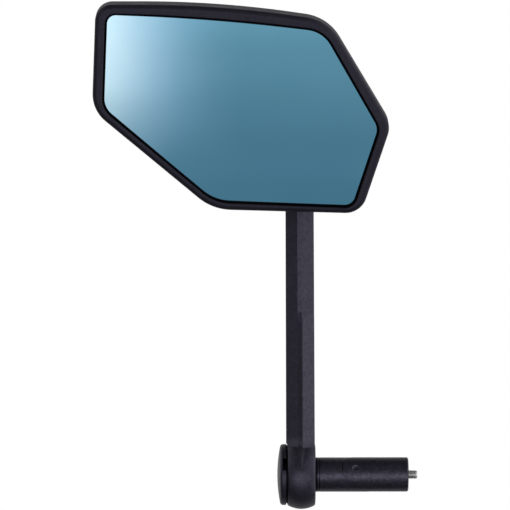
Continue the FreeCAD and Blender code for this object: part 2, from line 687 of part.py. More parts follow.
def rear_cone(half_angle, reach):
    """Cone with its point at the ball's centre that opens towards +Y."""
    return Part.makeCone(0, reach * math.tan(math.radians(half_angle)), reach,
                         Vector(0, 0, 0), Vector(0, 1, 0))


def ball_liner():
    shell = Part.makeSphere(LINER_OUT_R).cut(Part.makeSphere(LINER_IN_R))
    shell = shell.cut(rear_cone(LINER_MOUTH, 20)).cut(cylinder_y(3.0, -20, 0))
    for i in range(LINER_SLOTS):
        slot = box(-LINER_SLOT / 2, LINER_SLOT / 2, 1.0, 20, 0, 20)
        slot.rotate(Vector(0, 0, 0), Vector(0, 1, 0), 360.0 / LINER_SLOTS * (i + 0.5))
        shell = shell.cut(slot)
    return at_ball(shell.Solids[0])


def around_ball(shape):
    """Copies of a head-frame shape at the three clamp screws."""
    copies = []
    for angle in CLAMP_SCREW_ANGLES:
        x, z = polar(CLAMP_SCREW_CIRCLE, angle)
        copies.append(shape.translated(Vector(x, 0, z)))
    return copies


def ball_clamp():
    """Front half of the ball's socket: a cup on a round flange, pulled in by three screws."""
    y0, y1 = CLAMP_FLANGE_Y
    cup = Part.makeSphere(SEAT_R + CLAMP_WALL).common(cylinder_y(30, -30, y1))
    flange = cylinder_y(CLAMP_FLANGE_R, y0, y1)
    clamp = fused([cup, flange]).cut(Part.makeSphere(SEAT_R))
    for hole in around_ball(cylinder_y(CLAMP_SCREW_R + 0.2, -10, 5)):
        clamp = clamp.cut(hole)
    return posed_in_head(clamp.Solids[0])


def clamp_springs():
    """Compression springs that keep the ball's grip even as the liner wears."""
    base = CLAMP_FLANGE_Y[0] - SPRING_HEIGHT
    pitch = (SPRING_HEIGHT - 2 * SPRING_WIRE_R - 0.1) / SPRING_TURNS
    helix = Part.makeHelix(pitch, pitch * SPRING_TURNS, SPRING_MID_R)
    section = Part.Wire(Part.makeCircle(SPRING_WIRE_R, Vector(SPRING_MID_R, 0, 0), Vector(0, 1, 0)))
    coil = helix.makePipeShell([section], True, True)
    coil.rotate(Vector(0, 0, 0), Vector(1, 0, 0), -90)
    coil.translate(Vector(0, base + SPRING_WIRE_R + 0.05, 0))
    return posed_in_head(Part.makeCompound(around_ball(coil)))


def clamp_screws():
    """Three pan-head screws through the springs and the clamp into the housing's bosses."""
    head_y = CLAMP_FLANGE_Y[0] - SPRING_HEIGHT
    screw = turned([
        (head_y - 2.0, 0), (head_y - 2.0, CLAMP_SCREW_HEAD_R - 1.0),
        (head_y - 1.2, CLAMP_SCREW_HEAD_R), (head_y, CLAMP_SCREW_HEAD_R),
        (head_y, CLAMP_SCREW_R), (3.4, CLAMP_SCREW_R), (4.2, 0.4), (4.2, 0),
    ], "y")
    cross = fused([box(-1.5, 1.5, head_y - 3, head_y - 0.9, -0.3, 0.3),
                   box(-0.3, 0.3, head_y - 3, head_y - 0.9, -1.5, 1.5)])
    return posed_in_head(Part.makeCompound(around_ball(screw.cut(cross).Solids[0])))


# ================================================================ mirror head
def posed_in_head(shape):
    """Takes a shape from the head's frame to where the stored head holds it."""
    placed = shape.copy()
    placed.rotate(Vector(0, 0, 0), Vector(1, 0, 0), HEAD_TILT)
    placed.translate(BALL_CENTRE)
    return placed


def glass_ball(depth):
    """The ball whose surface is the glass's front, moved inwards by depth."""
    x, z = GLASS_CENTRE
    return Part.makeSphere(GLASS_CURVE_R - depth, Vector(x, GLASS_FRONT_Y + GLASS_CURVE_R, z))


def curved_sheet(inset, depth, thickness):
    """Sheet that follows the convex glass, cut to the glass's outline moved inwards by inset."""
    prism = outline_prism(inset_corners(GLASS_OUTLINE, inset), GLASS_FRONT_Y - 2, -8)
    return prism.common(glass_ball(depth)).cut(glass_ball(depth + thickness)).Solids[0]


def mirror_glass():
    glass = curved_sheet(-GLASS_OVERLAP, 0, GLASS_T)
    return posed_in_head(glass)


def glass_seal():
    """Black ring that seals the gap between the glass's front and the bezel's lip."""
    front, back = GLASS_FRONT_Y - 2, -8
    ring = outline_prism(inset_corners(GLASS_OUTLINE, 0.02 - SEAL_WIDTH), front, back)
    ring = ring.cut(outline_prism(GLASS_OUTLINE, front - 1, back + 1))
    return posed_in_head(ring.common(glass_ball(-SEAL_T)).cut(glass_ball(0)).Solids[0])


def glass_pad():
    return posed_in_head(curved_sheet(1.0, GLASS_T, PAD_T))


def glass_carrier():
    plate = curved_sheet(-GLASS_OVERLAP + 0.2, GLASS_T + PAD_T, CARRIER_T)
    return posed_in_head(plate)


def bezel():
    """Rim that holds the glass against the housing; its lip follows the curve of the glass."""
    ring = outline_prism(RIM_OUTLINE, BEZEL_FRONT_Y, BEZEL_BACK_Y)
    ring = round_edges(ring, BEZEL_OUTER_R, lambda e: abs(e.BoundBox.YMax - BEZEL_FRONT_Y) < 0.01)
    opening = inset_corners(GLASS_OUTLINE, -SEAL_WIDTH)
    ring = ring.cut(outline_prism(opening, BEZEL_FRONT_Y - 1, BEZEL_BACK_Y + 1))
    flare = [(inset_corners(opening, -BEZEL_LIP_FLARE), BEZEL_FRONT_Y),
             (opening, BEZEL_FRONT_Y + BEZEL_LIP_FLARE)]
    ring = ring.cut(Part.makeLoft([wire_across_y(c, y) for c, y in flare], True, True))
    rebate = outline_prism(inset_corners(GLASS_OUTLINE, -GLASS_OVERLAP - 0.15), -40, 0)
    ring = ring.cut(rebate.common(glass_ball(0)))
    return posed_in_head(fused([ring, bezel_tongue()] + [bezel_tab(*place) for place in BEZEL_TABS]))


def bezel_tongue():
    """Thin wall that covers the seam from inside; it stops where the stack behind the glass reaches."""
    front, back = BEZEL_BACK_Y - 0.5, BEZEL_BACK_Y + TONGUE_REACH
    wall = outline_prism(inset_corners(RIM_OUTLINE, TAB_INSET), front, back)
    wall = wall.cut(outline_prism(inset_corners(RIM_OUTLINE, TAB_INSET + TONGUE_T), front - 1, back + 1))
    stack = outline_prism(inset_corners(GLASS_OUTLINE, -GLASS_OVERLAP - 0.15), GLASS_FRONT_Y - 2, 0)
    return wall.cut(stack.common(glass_ball(0)).cut(glass_ball(GLASS_T + PAD_T + CARRIER_T + 0.15)))


def bezel_tab(side, share):
    """Snap tab behind the bezel: side is the rim corner where its side starts, share how far along."""
    u0, v0, _ = RIM_OUTLINE[side]
    u1, v1, _ = RIM_OUTLINE[(side + 1) % len(RIM_OUTLINE)]
    turn = math.degrees(math.atan2(v1 - v0, u1 - u0))
    tab = box(-TAB_WIDTH / 2, TAB_WIDTH / 2, BEZEL_BACK_Y - 0.5, TAB_END_Y, -TAB_INSET - TAB_T, -TAB_INSET)
    tab.rotate(Vector(0, 0, 0), Vector(0, 1, 0), -turn)
    return tab.translated(Vector(u0 + (u1 - u0) * share, 0, v0 + (v1 - v0) * share))


def housing_loft(inset, shift):
    """Bowl of the housing: a straight side that curves over, as a quarter ellipse, to a flat back."""
    outline = inset_corners(RIM_OUTLINE, inset)
    side = outline_prism(outline, HOUSING_FRONT_Y, HOUSING_SIDE_Y - shift)
    wires = []
    for i in range(HOUSING_STEPS + 1):
        turn = math.pi / 2 * i / HOUSING_STEPS
        scale = HOUSING_FLAT_SCALE + (1 - HOUSING_FLAT_SCALE) * math.cos(turn)
        y = HOUSING_SIDE_Y + (HOUSING_BACK_Y - HOUSING_SIDE_Y) * math.sin(turn) - shift
        wires.append(wire_across_y(scaled_corners(outline, scale, HOUSING_SCALE_CENTRE), y))
    return fused([side, Part.makeLoft(wires, True, False)])


def housing():
    """Rear shell with the ball's rear seat and the three screw bosses moulded in."""
    outer = housing_loft(0, 0)
    inner = housing_loft(HOUSING_WALL, HOUSING_WALL)
    open_front = outline_prism(inset_corners(RIM_OUTLINE, HOUSING_WALL), HOUSING_FRONT_Y - 1,
                               HOUSING_FRONT_Y + 1)
    shell = outer.cut(inner).cut(open_front)
    seat_front = -2.0
    seat = Part.makeSphere(SEAT_OUT_R).common(cylinder_y(30, seat_front, 30))
    seat = seat.common(outer)
    bosses = [b.common(outer) for b in around_ball(cylinder_y(3.3, seat_front, 7))]
    ribs = []
    for angle in CLAMP_SCREW_ANGLES:
        rib = box(SEAT_R + 1.2, CLAMP_SCREW_CIRCLE, seat_front + 0.8, 7, -0.8, 0.8)
        rib.rotate(Vector(0, 0, 0), Vector(0, 1, 0), -angle)
        ribs.append(rib.common(outer))
    whole = fused([shell, seat] + bosses + ribs)
    whole = whole.cut([Part.makeSphere(SEAT_R), rear_cone(SEAT_MOUTH, 20)])
    for hole in around_ball(cylinder_y(CLAMP_SCREW_R + 0.05, seat_front - 1, 5.0)):
        whole = whole.cut(hole)
    return posed_in_head(whole.Solids[0])


NODES = {
    "plug_body": plug_body,
    "plug_wedge": plug_wedge,
    "wedge_nut": wedge_nut,
    "clamp_screw": clamp_screw,
    "clamp_washer": clamp_washer,
    "spring_washer": spring_washer,
    "arm": arm,
    "eye_insert": eye_insert,
    "friction_ring": friction_ring,
    "eye_cap": eye_cap,
    "stud_cap": stud_cap,
    "ball_stud": ball_stud,
    "stud_washer": stud_washer,
    "stud_nut": stud_nut,
    "ball_liner": ball_liner,
    "ball_clamp": ball_clamp,
    "clamp_springs": clamp_springs,
    "clamp_screws": clamp_screws,
    "mirror_glass": mirror_glass,
    "glass_seal": glass_seal,
    "glass_pad": glass_pad,
    "glass_carrier": glass_carrier,
    "bezel": bezel,
    "housing": housing,
}


def main():
    os.makedirs("parts", exist_ok=True)
    for name, make in NODES.items():
        shape = make()
        size = shape.BoundBox
        print(name, "solids", len(shape.Solids), "valid", shape.isValid(),
              "volume", round(shape.Volume, 1),
              "size", [round(v, 1) for v in (size.XLength, size.YLength, size.ZLength)])
        shape.exportStep("parts/" + name + ".step")


main()
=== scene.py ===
import math

import bmesh
import bpy
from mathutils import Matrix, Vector


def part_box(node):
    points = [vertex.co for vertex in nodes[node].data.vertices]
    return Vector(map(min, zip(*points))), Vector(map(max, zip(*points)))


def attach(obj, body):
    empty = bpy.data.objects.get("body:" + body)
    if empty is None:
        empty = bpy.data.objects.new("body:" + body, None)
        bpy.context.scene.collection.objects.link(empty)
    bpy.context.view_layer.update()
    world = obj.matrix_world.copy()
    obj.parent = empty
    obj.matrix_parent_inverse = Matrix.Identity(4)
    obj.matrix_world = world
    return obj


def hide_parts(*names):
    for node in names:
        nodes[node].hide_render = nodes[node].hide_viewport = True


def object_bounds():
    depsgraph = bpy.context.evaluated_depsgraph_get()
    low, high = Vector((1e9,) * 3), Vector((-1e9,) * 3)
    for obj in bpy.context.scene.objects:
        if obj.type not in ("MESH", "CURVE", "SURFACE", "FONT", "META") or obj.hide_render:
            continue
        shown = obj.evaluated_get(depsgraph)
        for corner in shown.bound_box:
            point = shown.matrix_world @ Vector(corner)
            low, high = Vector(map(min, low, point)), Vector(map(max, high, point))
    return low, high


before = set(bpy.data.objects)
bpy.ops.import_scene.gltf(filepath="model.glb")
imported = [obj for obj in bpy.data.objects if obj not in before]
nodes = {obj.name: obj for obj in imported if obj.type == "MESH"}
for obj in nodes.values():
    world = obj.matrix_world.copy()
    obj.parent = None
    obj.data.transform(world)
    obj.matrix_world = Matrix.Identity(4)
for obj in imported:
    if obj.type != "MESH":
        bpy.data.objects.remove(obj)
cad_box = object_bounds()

MM = 0.001

# ================================================================ node helpers
EDGE_BAND = (0.99, 0.85)      # likeness of true and rounded normal, from no edge to a full edge
CREVICE_BAND = (0.99, 0.78)   # openness, from no crevice to a full crevice


class Tree:
    """A few short calls for building a node tree."""

    def __init__(self, owner):
        owner.use_nodes = True
        self.tree = owner.node_tree
        self.tree.nodes.clear()

    def node(self, kind, sockets=None, **settings):
        made = self.tree.nodes.new(kind)
        for name, value in settings.items():
            setattr(made, name, value)
        for name, value in (sockets or {}).items():
            if isinstance(value, bpy.types.NodeSocket):
                self.tree.links.new(value, made.inputs[name])
            else:
                made.inputs[name].default_value = value
        return made

    def link(self, output, node, name):
        self.tree.links.new(output, node.inputs[name])

    def math(self, operation, first, second=0.0, third=0.0):
        made = self.node("ShaderNodeMath", {0: first, 1: second, 2: third}, operation=operation)
        return made.outputs[0]

    def times(self, first, second):
        return self.math("MULTIPLY", first, second)

    def plus(self, first, second):
        return self.math("ADD", first, second)

    def minus(self, first, second):
        return self.math("SUBTRACT", first, second)

    def vector(self, operation, first, second=(0.0, 0.0, 0.0), output="Vector"):
        made = self.node("ShaderNodeVectorMath", {0: first, 1: second}, operation=operation)
        return made.outputs[output]

    def scale(self, colour, strength):
        made = self.node("ShaderNodeVectorMath", {0: colour, "Scale": strength}, operation="SCALE")
        return made.outputs[0]

    def mix(self, factor, first, second):
        """Blend of two colours; 6 and 7 are the mix node's colour sockets."""
        made = self.node("ShaderNodeMix", {0: factor, 6: first, 7: second}, data_type="RGBA")
        return made.outputs[2]

    def noise(self, coords, size, detail=3.0, roughness=0.5, distortion=0.0):
        """Noise whose blobs are about size across, in metres; its value is centred on 0.5."""
        made = self.node("ShaderNodeTexNoise", {
            "Vector": coords, "Scale": 1.0 / size, "Detail": detail,
            "Roughness": roughness, "Distortion": distortion,
        })
        return made.outputs["Fac"]

    def cells(self, coords, size):
        """Distance to the nearest of many scattered points about size apart, as a share of size."""
        made = self.node("ShaderNodeTexVoronoi", {"Vector": coords, "Scale": 1.0 / size})
        return made.outputs["Distance"]

    def ramp(self, value, low, high, to_low=0.0, to_high=1.0):
        """A smooth step that goes from to_low to to_high as value goes from low to high."""
        made = self.node("ShaderNodeMapRange", {
            "Value": value, "From Min": low, "From Max": high, "To Min": to_low, "To Max": to_high,
        }, interpolation_type="SMOOTHSTEP")
        return made.outputs["Result"]

    def curve(self, value, points):
        """Smooth curve through (value, result) pairs; it is level beyond both ends."""
        low, high = points[0][0], points[-1][0]
        top = max(result for _, result in points)
        share = self.node("ShaderNodeMapRange", {"Value": value, "From Min": low, "From Max": high})
        made = self.node("ShaderNodeValToRGB", {"Fac": share.outputs["Result"]})
        band = made.color_ramp
        band.interpolation = "CARDINAL"
        band.elements[0].position = 0.0
        band.elements[1].position = 1.0
        for place, _ in points[1:-1]:
            band.elements.new((place - low) / (high - low))
        for element, (_, result) in zip(band.elements, points):
            element.color = (result / top, result / top, result / top, 1.0)
        return self.times(made.outputs["Color"], top)


def scaled(colour, factor):
    return tuple(channel * factor for channel in colour)


def rgba(colour, factor=1.0):
    """A colour times a factor, with full alpha."""
    return (*scaled(colour, factor), 1.0)


class Finish(Tree):
    """A material with one Principled shader, patterned in the object's own coordinates."""

    def __init__(self, name, specular=0.5, metallic=0.0, coat=0.0, coat_roughness=0.03,
                 sheen=(1.0, 1.0, 1.0)):
        self.material = bpy.data.materials.new(name)
        super().__init__(self.material)
        self.coords = self.node("ShaderNodeTexCoord").outputs["Object"]
        self.shader = self.node("ShaderNodeBsdfPrincipled", {
            "Specular IOR Level": specular, "Metallic": metallic,
            "Coat Weight": coat, "Coat Roughness": coat_roughness, "Specular Tint": rgba(sheen),
        })
        self.node("ShaderNodeOutputMaterial", {"Surface": self.shader.outputs[0]})

    def edges(self, radius):
        """1 on sharp edges within radius, 0 on flat and gently curved places."""
        bevel = self.node("ShaderNodeBevel", {"Radius": radius}, samples=4)
        normal = self.node("ShaderNodeNewGeometry").outputs["Normal"]
        same = self.vector("DOT_PRODUCT", bevel.outputs[0], normal, output="Value")
        return self.ramp(same, *EDGE_BAND)

    def crevice_shade_mask(self, reach):
        """1 deep in inside corners and gaps narrower than reach, 0 on open surfaces: where dirt and
        painted shade go.
        """
        openness = self.node("ShaderNodeAmbientOcclusion", {"Distance": reach}, samples=16)
        return self.ramp(openness.outputs["AO"], *CREVICE_BAND)

    def bump(self, height, distance, under=None):
        sockets = {"Height": height, "Distance": distance, "Strength": 1.0}
        if under is not None:
            sockets["Normal"] = under
        return self.node("ShaderNodeBump", sockets).outputs[0]

    def finish(self, colour, roughness, normal=None):
        self.link(colour, self.shader, "Base Color")
        self.link(roughness, self.shader, "Roughness")
        if normal is not None:
            self.link(normal, self.shader, "Normal")
        return self.material


# ================================================================ materials
CLOUD_BAND = (0.3, 0.7)       # noise values between which a cloud goes from none to full

# What the black plastics share. A shade, cover, height or shine is a share of the plain one's;
# a roughness is added or taken away.
CLOUD_SIZE = 14 * MM
CLOUD_SHADES = (0.86, 1.14)
CLOUD_ROUGHNESS = 0.035
SCUFF_SIZE = 2.2 * MM
SCUFF_BAND = (0.38, 0.62)     # noise values between which wear goes from none to full
SINK_SIZE = 1.7 * MM
WIDE_GRAIN = 4                # size of the wide grain, in fine grains
WIDE_GRAIN_HEIGHT = 0.6
WIDE_GRAIN_ROUGHNESS = 0.12
WEAR_AND_HIGHLIGHT_REACH = 0.35 * MM        # how far in from a sharp edge the wear and the painted edge highlight go
# Worn edges are lightened by this share of the colour: partly real wear, partly a painted highlight
# along the edges.
WEAR_AND_HIGHLIGHT_SHADE = 2.6
WEAR_AND_HIGHLIGHT_COVER = 0.6
WORN_ROUGHNESS = 0.1
# Dirt and painted shade: inside corners and gaps narrower than CREVICE_REACH are darkened towards
# black, and their sheen is dimmed.
CREVICE_REACH = 1.6 * MM
CREVICE_SHADE_COVER = 0.8
CREVICE_SHADE_SHINE = 0.2
# the black that crevices are darkened towards: dirt and painted shade
PAINTED_SHADE_BLACK = (0.0, 0.0, 0.0)


def moulded_plastic(name, colour, roughness, specular, grain=0.35 * MM, depth=0.02 * MM,
                    sink=0.02 * MM, scuffing=0.8):
    """Black plastic: eroded grain, sink marks, cloudy sheen, scuffs, worn edges also lit by a
    painted highlight, and crevices darkened by dirt and painted shade.
    """
    m = Finish(name, specular=specular, sheen=VIOLET)
    grain_fine = m.noise(m.coords, grain, detail=2.0, roughness=0.6)
    grain_wide = m.noise(m.coords, grain * WIDE_GRAIN, detail=2.0)
    clouds = m.noise(m.coords, CLOUD_SIZE, detail=3.0, roughness=0.55)
    scuffs = m.noise(m.coords, SCUFF_SIZE, detail=4.0, roughness=0.7, distortion=0.6)
    sinks = m.noise(m.coords, SINK_SIZE, detail=2.0, roughness=0.6)
    wear_and_highlight = m.times(m.edges(WEAR_AND_HIGHLIGHT_REACH), m.ramp(scuffs, *SCUFF_BAND))
    crevice_dirt_and_shade = m.crevice_shade_mask(CREVICE_REACH)

    deep, light = CLOUD_SHADES
    shade = m.mix(m.ramp(clouds, *CLOUD_BAND), rgba(colour, deep), rgba(colour, light))
    # worn edges lightened: real wear together with a painted edge highlight
    shade = m.mix(m.times(wear_and_highlight, WEAR_AND_HIGHLIGHT_COVER), shade, rgba(colour, WEAR_AND_HIGHLIGHT_SHADE))
    # dirt and painted shade darken the crevices towards black
    shade = m.mix(m.times(crevice_dirt_and_shade, CREVICE_SHADE_COVER), shade, rgba(PAINTED_SHADE_BLACK))

    polish = m.math("MULTIPLY_ADD", m.minus(scuffs, 0.5), scuffing, 1.0)
    # painted shade: the sheen is dimmed in crevices
    shine = m.times(m.ramp(crevice_dirt_and_shade, 0.0, 1.0, specular, specular * CREVICE_SHADE_SHINE), polish)
    m.link(shine, m.shader, "Specular IOR Level")

    smoothest, roughest = roughness - CLOUD_ROUGHNESS, roughness + CLOUD_ROUGHNESS
    cloudy = m.ramp(clouds, *CLOUD_BAND, smoothest, roughest)
    grainy = m.times(m.minus(grain_wide, 0.5), WIDE_GRAIN_ROUGHNESS)
    rough = m.minus(m.plus(cloudy, grainy), m.times(wear_and_highlight, WORN_ROUGHNESS))

    relief = m.plus(grain_fine, m.times(grain_wide, WIDE_GRAIN_HEIGHT))
    return m.finish(shade, rough, m.bump(relief, depth, m.bump(sinks, sink)))


def tinted_mirror():
    """Blue anti-dazzle mirror: a metal layer seen through tinted glass."""
    m = Finish("mirror_coating", metallic=1.0, coat=0.15, coat_roughness=0.0)
    clouds = m.noise(m.coords, 60 * MM, detail=2.0)
    deep, light = (0.064, 0.208, 0.297), (0.071, 0.219, 0.311)
    shade = m.mix(m.ramp(clouds, *CLOUD_BAND), rgba(deep), rgba(light))
    return m.finish(shade, m.ramp(clouds, *CLOUD_BAND, 0.0, 0.002))


def turned_metal(name, colour, roughness, axis):
    """Lathe-turned metal: fine rings round an axis and faint stains."""
    m = Finish(name, metallic=1.0)
    stretch = [0.02, 0.02, 0.02]
    stretch[axis] = 1.0
    along = m.node("ShaderNodeMapping", {"Vector": m.coords, "Scale": tuple(stretch)})
    rings = m.noise(along.outputs[0], 0.12 * MM, detail=2.0, roughness=0.6)
    stains = m.noise(m.coords, 3 * MM, detail=3.0)
    shade = m.mix(m.ramp(stains, 0.35, 0.7), rgba(colour, 0.8), rgba(colour))
    rough = m.ramp(stains, *CLOUD_BAND, roughness - 0.06, roughness + 0.08)
    return m.finish(shade, rough, m.bump(rings, 0.006 * MM))


def plated_steel(name, colour, roughness):
    """Zinc plate: a crystalline mottle with a soft grey bloom."""
    m = Finish(name, metallic=1.0)
    crystals = m.cells(m.coords, 0.9 * MM)
    bloom = m.noise(m.coords, 5 * MM, detail=3.0)
    mottle = m.plus(m.times(crystals, 0.5), bloom)
    shade = m.mix(m.ramp(mottle, 0.4, 1.0), rgba(colour, 0.82), rgba(colour))
    rough = m.ramp(mottle, 0.4, 1.0, roughness + 0.08, roughness - 0.05)
    return m.finish(shade, rough, m.bump(crystals, 0.004 * MM))


def nylon():
    """Uncoloured nylon: milky, with a fine grain."""
    m = Finish("natural_nylon", specular=0.4)
    clouds = m.noise(m.coords, 4 * MM, detail=3.0)
    grain = m.noise(m.coords, 0.3 * MM, detail=2.0)
    shade = m.mix(clouds, rgba((0.60, 0.57, 0.48)), rgba((0.76, 0.74, 0.66)))
    return m.finish(shade, m.ramp(clouds, *CLOUD_BAND, 0.38, 0.5), m.bump(grain, 0.01 * MM))


def foam():
    """Closed-cell foam: small dark pits with paler rims."""
    m = Finish("closed_cell_foam", specular=0.2)
    pits = m.cells(m.coords, 0.5 * MM)
    shade = m.mix(m.ramp(pits, 0.1, 0.7), rgba((0.03, 0.03, 0.033)), rgba((0.075, 0.075, 0.08)))
    return m.finish(shade, m.ramp(pits, 0.0, 0.8, 0.75, 0.95), m.bump(pits, 0.08 * MM))


BLACK = (0.0100, 0.0096, 0.0140)
VIOLET = (1.01, 0.965, 1.27)  # tint of the sheen on the black plastics
PLUG = moulded_plastic("plug_nylon", scaled(BLACK, 0.7), 0.36, 0.5, grain=0.3 * MM, depth=0.012 * MM,
                       sink=0.12 * MM, scuffing=2.2)
ARM = moulded_plastic("arm_nylon", BLACK, 0.42, 0.45, sink=0.035 * MM, scuffing=1.4)
CAP = moulded_plastic("cap_nylon", BLACK, 0.40, 0.34, grain=0.3 * MM, depth=0.012 * MM)
HOUSING = moulded_plastic("housing_abs", BLACK, 0.52, 0.27, grain=0.45 * MM, depth=0.035 * MM)
BEZEL = moulded_plastic("bezel_abs", BLACK, 0.48, 0.22, grain=0.4 * MM, depth=0.03 * MM)
CARRIER = moulded_plastic("carrier_abs", (0.02, 0.02, 0.022), 0.5, 0.5)
MIRROR = tinted_mirror()
STEEL = turned_metal("stud_steel", (0.55, 0.55, 0.56), 0.3, axis=1)
STAINLESS = turned_metal("screw_stainless", (0.66, 0.65, 0.63), 0.3, axis=0)
SPRING = turned_metal("spring_steel", (0.42, 0.42, 0.43), 0.32, axis=0)
ZINC = plated_steel("zinc_plate", (0.62, 0.62, 0.6), 0.36)
BRASS = turned_metal("bush_brass", (0.72, 0.52, 0.25), 0.3, axis=0)
# The seal is a near-black, dull ring round the glass: partly a real rubber seal, partly painted
# shade standing in for the shadowed gap between the bezel's lip and the glass.
SEAL_AND_GAP_SHADE = moulded_plastic("seal_rubber", (0.0035, 0.0035, 0.0045), 0.7, 0.12, grain=0.25 * MM)
NYLON = nylon()
FOAM = foam()

FINISHES = {
    "plug_body": PLUG, "plug_wedge": PLUG, "wedge_nut": ZINC, "clamp_screw": STAINLESS,
    "clamp_washer": ZINC, "spring_washer": SPRING, "arm": ARM, "eye_insert": BRASS,
    "friction_ring": NYLON, "eye_cap": CAP, "stud_cap": CAP, "ball_stud": STEEL,
    "stud_washer": ZINC, "stud_nut": ZINC, "ball_liner": NYLON, "ball_clamp": CARRIER,
    "clamp_springs": SPRING, "clamp_screws": ZINC, "mirror_glass": MIRROR, "glass_pad": FOAM,
    "glass_carrier": CARRIER, "glass_seal": SEAL_AND_GAP_SHADE, "bezel": BEZEL, "housing": HOUSING,
}
for name, material in FINISHES.items():
    for slot in nodes[name].material_slots:
        slot.material = material

# ================================================================ clamp screw
SCREW_R = 2.45 * MM
SCREW_PITCH = 0.8 * MM
THREAD_DEPTH = 0.44 * MM
THREAD_START = 38.0 * MM
CREST_FLAT = 0.12             # share of half a pitch that the flat crest takes
FLANK_RUN = 0.66              # and that the sloping flank takes
TIP_CHAMFER = 0.7 * MM
HEAD_R = 4.25 * MM
HEAD_LENGTH = 5.0 * MM
HEAD_STEP = 0.1 * MM          # smooth bands at both ends of the knurl lie this much lower
SEAT_CHAMFER = 0.25 * MM
FACE_R = 3.55 * MM            # the flat face round the socket
FACE_ROUND = 0.2 * MM
KNURL_DEPTH = 0.07 * MM
KEY_HALF = 2.0 * MM           # half of the hexagon socket's width across flats
KEY_DEPTH = 2.6 * MM
KEY_CHAMFER = 0.3 * MM
KEY_FLOOR = 0.96              # where the drilled cone starts, as a share of the hexagon
CONE_DEPTH = 0.4 * MM
CONE_R = 0.3 * MM             # the cone's blunt end
CONE_POINT = 0.05 * MM
NECK_ROUND = 0.15 * MM        # under the head
ROUND = 72                    # points in each ring of the screw
RIDGES = ROUND // 3           # of the knurl
STEPS = 12                    # rings in each turn of the thread
SHARP_ANGLE = math.radians(35)


def plain(radius):
    """A circle: the same radius at every angle."""
    return lambda turn: radius


def hexagon(share=1.0, grown=0.0):
    """The key's socket, as its radius at an angle."""
    def radius(turn):
        return KEY_HALF / math.cos((turn % (math.pi / 3)) - math.pi / 6) * share + grown
    return radius


def knurl(turn):
    return HEAD_R - KNURL_DEPTH * (1 + math.cos(turn * RIDGES)) / 2


def thread_radius(x, turn, tip):
    """Radius of the M5 thread at a place along the screw and an angle round it."""
    phase = ((x - THREAD_START) / SCREW_PITCH - turn / (2 * math.pi)) % 1.0
    flank = abs(phase - 0.5) * 2                       # 0 at the crest, 1 at the root
    cut = min(1.0, max(0.0, (flank - CREST_FLAT) / FLANK_RUN))
    fade = min(1.0, max(0.0, (x - THREAD_START) / SCREW_PITCH))
    point = max(0.0, x - (tip - TIP_CHAMFER))          # 45 degree chamfer at the tip
    return min(SCREW_R - THREAD_DEPTH * cut * fade, SCREW_R - point)


def screw_rings(turns, head, tip):
    """Rings of (place along the axis, radius) at each angle, from the socket's floor to the tip."""
    seat = head + HEAD_LENGTH
    profile = [
        (head + KEY_DEPTH + CONE_DEPTH, plain(CONE_R)),
        (head + KEY_DEPTH, hexagon(share=KEY_FLOOR)),
        (head + KEY_DEPTH, hexagon()),
        (head + 0.25 * MM, hexagon()),
        (head + 0.02 * MM, hexagon(grown=0.22 * MM)),
        (head, hexagon(grown=KEY_CHAMFER)),
        (head, plain(FACE_R)),
        (head + 0.06 * MM, plain(FACE_R + FACE_ROUND)),
        (head + 0.45 * MM, plain(HEAD_R - HEAD_STEP)),
        (head + 0.55 * MM, knurl),
        (seat - 0.4 * MM, knurl),
        (seat - 0.3 * MM, plain(HEAD_R - HEAD_STEP)),
        (seat, plain(HEAD_R - SEAT_CHAMFER)),
        (seat, plain(SCREW_R + NECK_ROUND)),
        (seat + NECK_ROUND, plain(SCREW_R)),
        (THREAD_START, plain(SCREW_R)),
    ]
    rings = [[(x, radius(turn)) for turn in turns] for x, radius in profile]
    step = SCREW_PITCH / STEPS
    places = [THREAD_START + i * step for i in range(1, int((tip - THREAD_START) / step))]
    for x in places + [tip]:
        rings.append([(x, thread_radius(x, turn, tip)) for turn in turns])
    return rings


def clamp_screw():
    """Socket head cap screw with a rolled thread, as one closed skin of rings along its axis."""
    low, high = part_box("clamp_screw")
    turns = [2 * math.pi * i / ROUND for i in range(ROUND)]
    rings = screw_rings(turns, low.x, high.x)
    shape = bmesh.new()
    loops = []
    for ring in rings:
        places = [(x, r * math.cos(turn), r * math.sin(turn)) for (x, r), turn in zip(ring, turns)]
        loops.append([shape.verts.new(place) for place in places])
    for near, far in zip(loops, loops[1:]):
        for i in range(ROUND):
            j = (i + 1) % ROUND
            shape.faces.new((near[i], near[j], far[j], far[i]))
    cone_point = rings[0][0][0] + CONE_POINT
    for loop, x in ((loops[0], cone_point), (loops[-1], high.x)):
        middle = shape.verts.new((x, 0, 0))
        for i in range(ROUND):
            shape.faces.new((loop[i], loop[(i + 1) % ROUND], middle))
    bmesh.ops.recalc_face_normals(shape, faces=shape.faces)
    for face in shape.faces:
        face.smooth = True
    mesh = bpy.data.meshes.new("clamp_screw_threaded")
    shape.to_mesh(mesh)
    shape.free()
    mesh.materials.append(STAINLESS)
    made = bpy.data.objects.new("clamp_screw_threaded", mesh)
    bpy.context.scene.collection.objects.link(made)
    mesh.set_sharp_from_angle(angle=SHARP_ANGLE)
    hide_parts("clamp_screw")
    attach(made, "screw")


clamp_screw()

# ================================================================ stage
# Azimuth 0 is towards the viewer (-Y) and turns towards +X. The BY_AZIMUTH and BY_ELEVATION
# lists hold pairs of degrees and strength.
WHITE = (1.0, 1.0, 1.0)
SOFTBOX_COLOUR = (1.0, 1.0, 1.04)
ROOM_COLOUR = (0.05, 0.05, 0.06)

